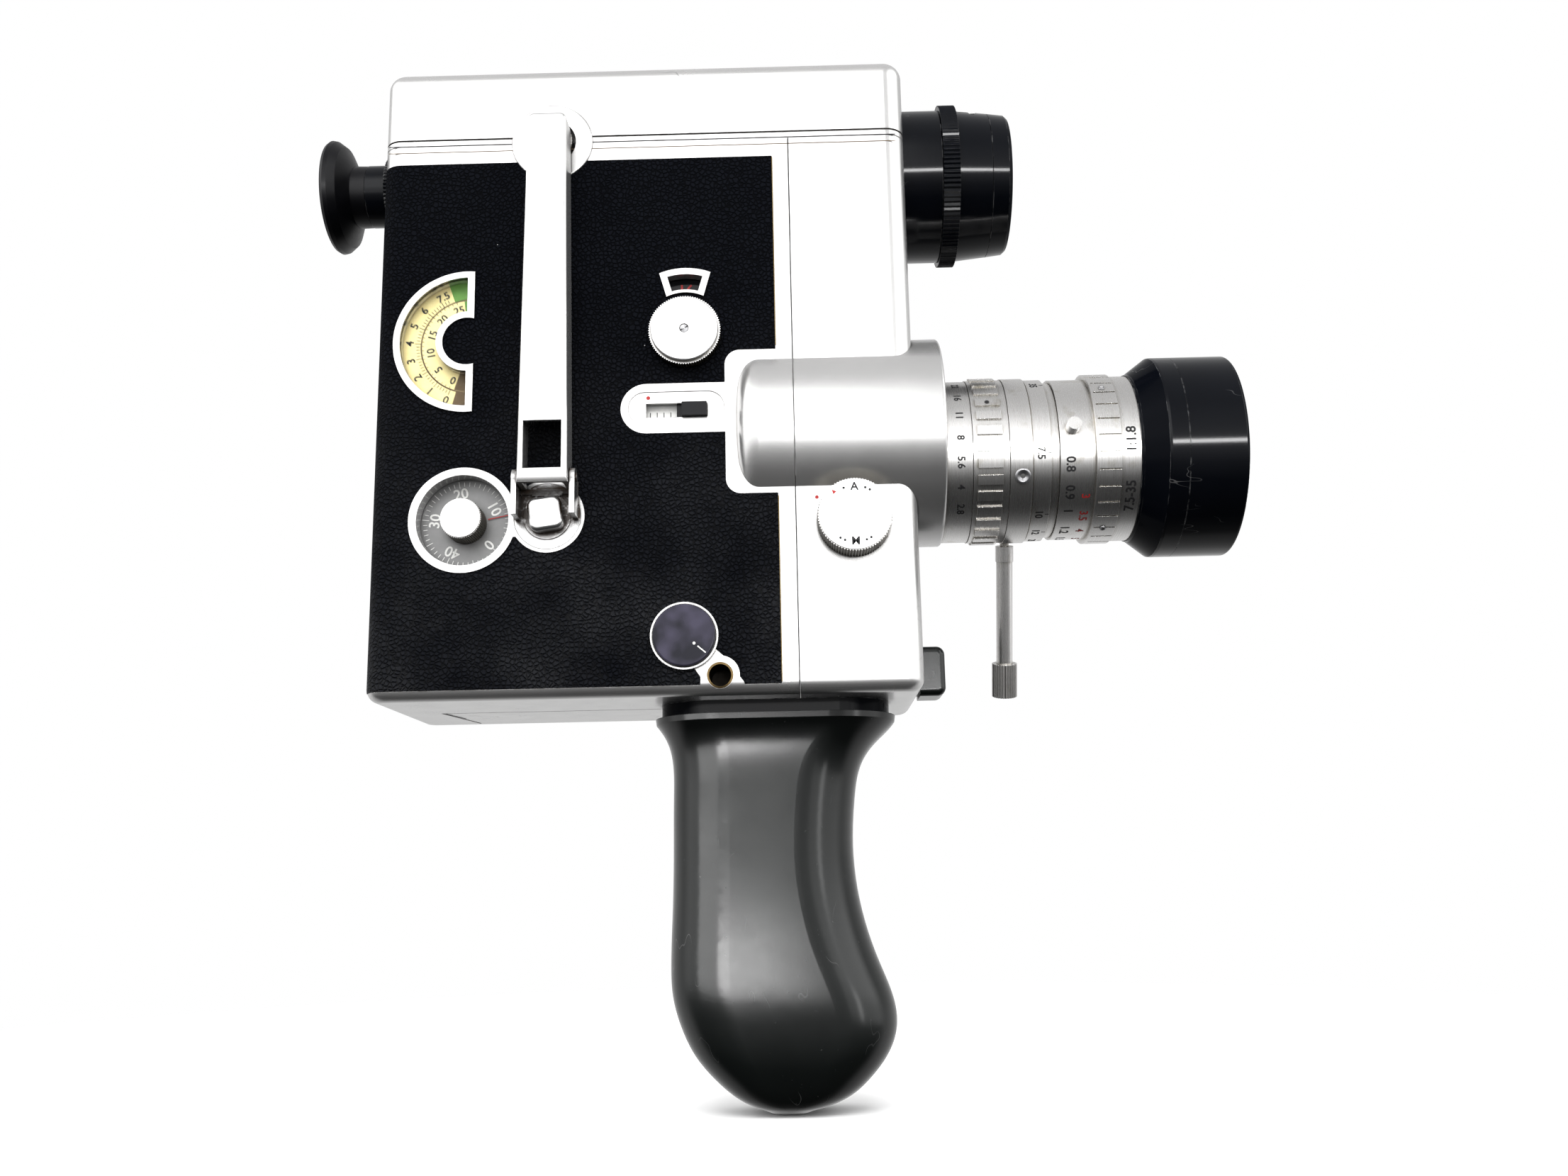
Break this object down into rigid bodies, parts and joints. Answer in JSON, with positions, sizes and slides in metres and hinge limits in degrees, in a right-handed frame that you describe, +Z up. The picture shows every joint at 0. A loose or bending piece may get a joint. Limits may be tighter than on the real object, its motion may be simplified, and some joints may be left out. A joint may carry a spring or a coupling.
{
  "type": "cine camera",
  "caption": "Spring-wound 8 mm cine camera with a zoom lens, folding crank, hinged film door, meter barrel, rear eyepiece and pistol grip.",
  "frame": {"origin": "centre of the grip bush in the underside of the body", "axes": "+X along the lens towards the subject, +Z up, -Y towards the winding crank side, +Y towards the film door side"},
  "size_m": [0.2226, 0.0662, 0.2488],
  "materials": {
    "silver_casing": "satin silver paint with fine texture and worn edges",
    "satin_metal": "satin turned aluminium",
    "polished_metal": "polished plated steel",
    "works_steel": "brushed steel",
    "works_brass": "machined brass",
    "black_metal": "glossy black anodised",
    "black_plastic": "glossy charcoal plastic",
    "leather": "black pebble grain leatherette",
    "rubber": "soft black rubber",
    "clear_glass": "coated glass",
    "scale_yellow": "cream yellow printed scale",
    "dial_grey": "grey printed dial"
  },
  "bodies": {
    "camera_body": {"main_shell": "silver_casing", "front_housing": "silver_casing", "top_housing": "silver_casing", "side_leatherette": "leather", "footage_bezel": "polished_metal", "footage_window": "clear_glass", "counter_bezel": "polished_metal", "knob_well": "satin_metal", "speed_bezel": "polished_metal", "release_socket": "works_brass", "lens_barrel": "satin_metal", "rear_lens": "clear_glass", "meter_barrel": "black_metal", "meter_rim": "black_metal", "meter_lens": "clear_glass", "eyepiece_tube": "black_metal", "eyecup": "rubber", "eyepiece_lens": "clear_glass", "door_hinge_pin": "works_steel", "grip_plate": "black_metal", "grip": "black_plastic", "grip_screw": "works_steel", "mechanism_plate": "works_steel", "film_gate": "works_steel"},
    "footage_counter": {"footage_disc": "scale_yellow"},
    "frame_counter": {"counter_dial": "dial_grey", "counter_knob": "satin_metal"},
    "crank_hub": {"winding_shaft": "works_steel", "crank_nut": "polished_metal", "crank_clevis": "polished_metal"},
    "crank_handle": {"crank_arm": "satin_metal"},
    "finger_knob": {"crank_knob": "satin_metal"},
    "speed_selector": {"speed_knob": "satin_metal", "speed_disc": "black_metal"},
    "slide_switch": {"slide_tab": "black_metal"},
    "mode_selector": {"mode_knob": "satin_metal"},
    "lock_selector": {"lock_knob": "black_metal"},
    "release": {"release_button": "black_plastic"},
    "iris": {"iris_ring": "satin_metal", "iris_diaphragm": "black_metal"},
    "zoom": {"zoom_ring": "satin_metal", "zoom_lever": "satin_metal"},
    "zoom_carriage": {"zoom_group": "clear_glass"},
    "focus": {"focus_ring": "satin_metal", "focus_grip": "satin_metal", "front_cell": "satin_metal", "front_lens": "clear_glass", "hood": "black_metal", "hood_front": "black_metal"},
    "film_speed": {"film_speed_ring": "black_metal"},
    "diopter": {"diopter_ring": "black_metal"},
    "door": {"film_door": "silver_casing", "door_leatherette": "leather"},
    "latch": {"door_latch": "satin_metal"},
    "spring_barrel": {"mainspring_barrel": "works_brass"},
    "gear": {"drive_gear": "works_brass"},
    "shutter": {"shutter_disc": "black_metal"},
    "film_pressure": {"pressure_plate": "works_steel"},
    "supply_reel": {"supply_spool": "works_steel"},
    "takeup_reel": {"takeup_spool": "works_steel"}
  },
  "joints": [
    {"name": "footage_turn", "type": "hinge", "parent": "camera_body", "child": "footage_counter", "pos_m": [-0.0702, -0.027, 0.0849], "axis": [0, -1, 0], "range_deg": [-160, 20]},
    {"name": "frame_counter_turn", "type": "hinge", "parent": "camera_body", "child": "frame_counter", "pos_m": [-0.0703, -0.027, 0.0415], "axis": [0, -1, 0], "continuous": true},
    {"name": "crank_turn", "type": "hinge", "parent": "camera_body", "child": "crank_hub", "pos_m": [-0.0507, -0.027, 0.0419], "axis": [0, -1, 0], "range_deg": [-0.4, 0.4]},
    {"name": "crank_fold", "type": "hinge", "parent": "crank_hub", "child": "crank_handle", "pos_m": [-0.0507, -0.0315, 0.0497], "axis": [1, 0, 0], "range_deg": [0, 180]},
    {"name": "finger_knob_turn", "type": "hinge", "parent": "crank_handle", "child": "finger_knob", "pos_m": [-0.0507, -0.03, 0.1355], "axis": [0, -1, 0], "continuous": true},
    {"name": "speed_turn", "type": "hinge", "parent": "camera_body", "child": "speed_selector", "pos_m": [-0.0187, -0.027, 0.0854], "axis": [0, -1, 0], "range_deg": [-40, 100]},
    {"name": "slide_switch_travel", "type": "slide", "parent": "camera_body", "child": "slide_switch", "axis": [1, 0, 0], "range_m": [-0.0084, 0]},
    {"name": "mode_turn", "type": "hinge", "parent": "camera_body", "child": "mode_selector", "pos_m": [0.0197, -0.027, 0.0392], "axis": [0, -1, 0], "range_deg": [0, 60]},
    {"name": "lock_turn", "type": "hinge", "parent": "camera_body", "child": "lock_selector", "pos_m": [-0.01935, -0.027, 0.0133], "axis": [0, -1, 0], "range_deg": [0, 90]},
    {"name": "release_travel", "type": "slide", "parent": "camera_body", "child": "release", "axis": [1, 0, 0], "range_m": [-0.0025, 0]},
    {"name": "iris_turn", "type": "hinge", "parent": "camera_body", "child": "iris", "pos_m": [0.06, -0.007, 0.0582], "axis": [1, 0, 0], "range_deg": [-30, 50]},
    {"name": "zoom_turn", "type": "hinge", "parent": "camera_body", "child": "zoom", "pos_m": [0.06, -0.007, 0.0582], "axis": [1, 0, 0], "range_deg": [-45, 45]},
    {"name": "zoom_shift", "type": "slide", "parent": "camera_body", "child": "zoom_carriage", "axis": [1, 0, 0], "range_m": [-0.008, 0.008]},
    {"name": "focus_turn", "type": "hinge", "parent": "camera_body", "child": "focus", "pos_m": [0.06, -0.007, 0.0582], "axis": [1, 0, 0], "range_deg": [-90, 150]},
    {"name": "film_speed_turn", "type": "hinge", "parent": "camera_body", "child": "film_speed", "pos_m": [0.05, 0, 0.1348], "axis": [1, 0, 0], "range_deg": [-120, 120]},
    {"name": "diopter_turn", "type": "hinge", "parent": "camera_body", "child": "diopter", "pos_m": [-0.097, 0, 0.1363], "axis": [1, 0, 0], "range_deg": [-60, 60]},
    {"name": "door_open", "type": "hinge", "parent": "camera_body", "child": "door", "pos_m": [-0.0891, 0.0241, 0.066], "axis": [0, 0, 1], "range_deg": [0, 100]},
    {"name": "latch_turn", "type": "hinge", "parent": "door", "child": "latch", "pos_m": [-0.008, 0.027, 0.066], "axis": [0, 1, 0], "range_deg": [0, 90]},
    {"name": "spring_barrel_turn", "type": "hinge", "parent": "camera_body", "child": "spring_barrel", "pos_m": [-0.0507, -0.017, 0.0419], "axis": [0, -1, 0], "continuous": true},
    {"name": "drive_gear_turn", "type": "hinge", "parent": "camera_body", "child": "gear", "pos_m": [-0.0255, -0.014, 0.0419], "axis": [0, -1, 0], "continuous": true},
    {"name": "shutter_turn", "type": "hinge", "parent": "camera_body", "child": "shutter", "pos_m": [0.009, 0.006, 0.0582], "axis": [1, 0, 0], "continuous": true},
    {"name": "pressure_plate_travel", "type": "slide", "parent": "camera_body", "child": "film_pressure", "axis": [1, 0, 0], "range_m": [-0.0015, 0]},
    {"name": "supply_spool_turn", "type": "hinge", "parent": "camera_body", "child": "supply_reel", "pos_m": [-0.055, 0, 0.1], "axis": [0, -1, 0], "continuous": true},
    {"name": "takeup_spool_turn", "type": "hinge", "parent": "camera_body", "child": "takeup_reel", "pos_m": [-0.055, 0, 0.038], "axis": [0, -1, 0], "continuous": true}
  ],
  "couplings": [
    {"joint": "zoom_shift", "follows": "zoom_turn", "m_per_rad": 0.0095},
    {"joint": "drive_gear_turn", "follows": "spring_barrel_turn", "ratio": -2},
    {"joint": "shutter_turn", "follows": "spring_barrel_turn", "ratio": 24}
  ]
}
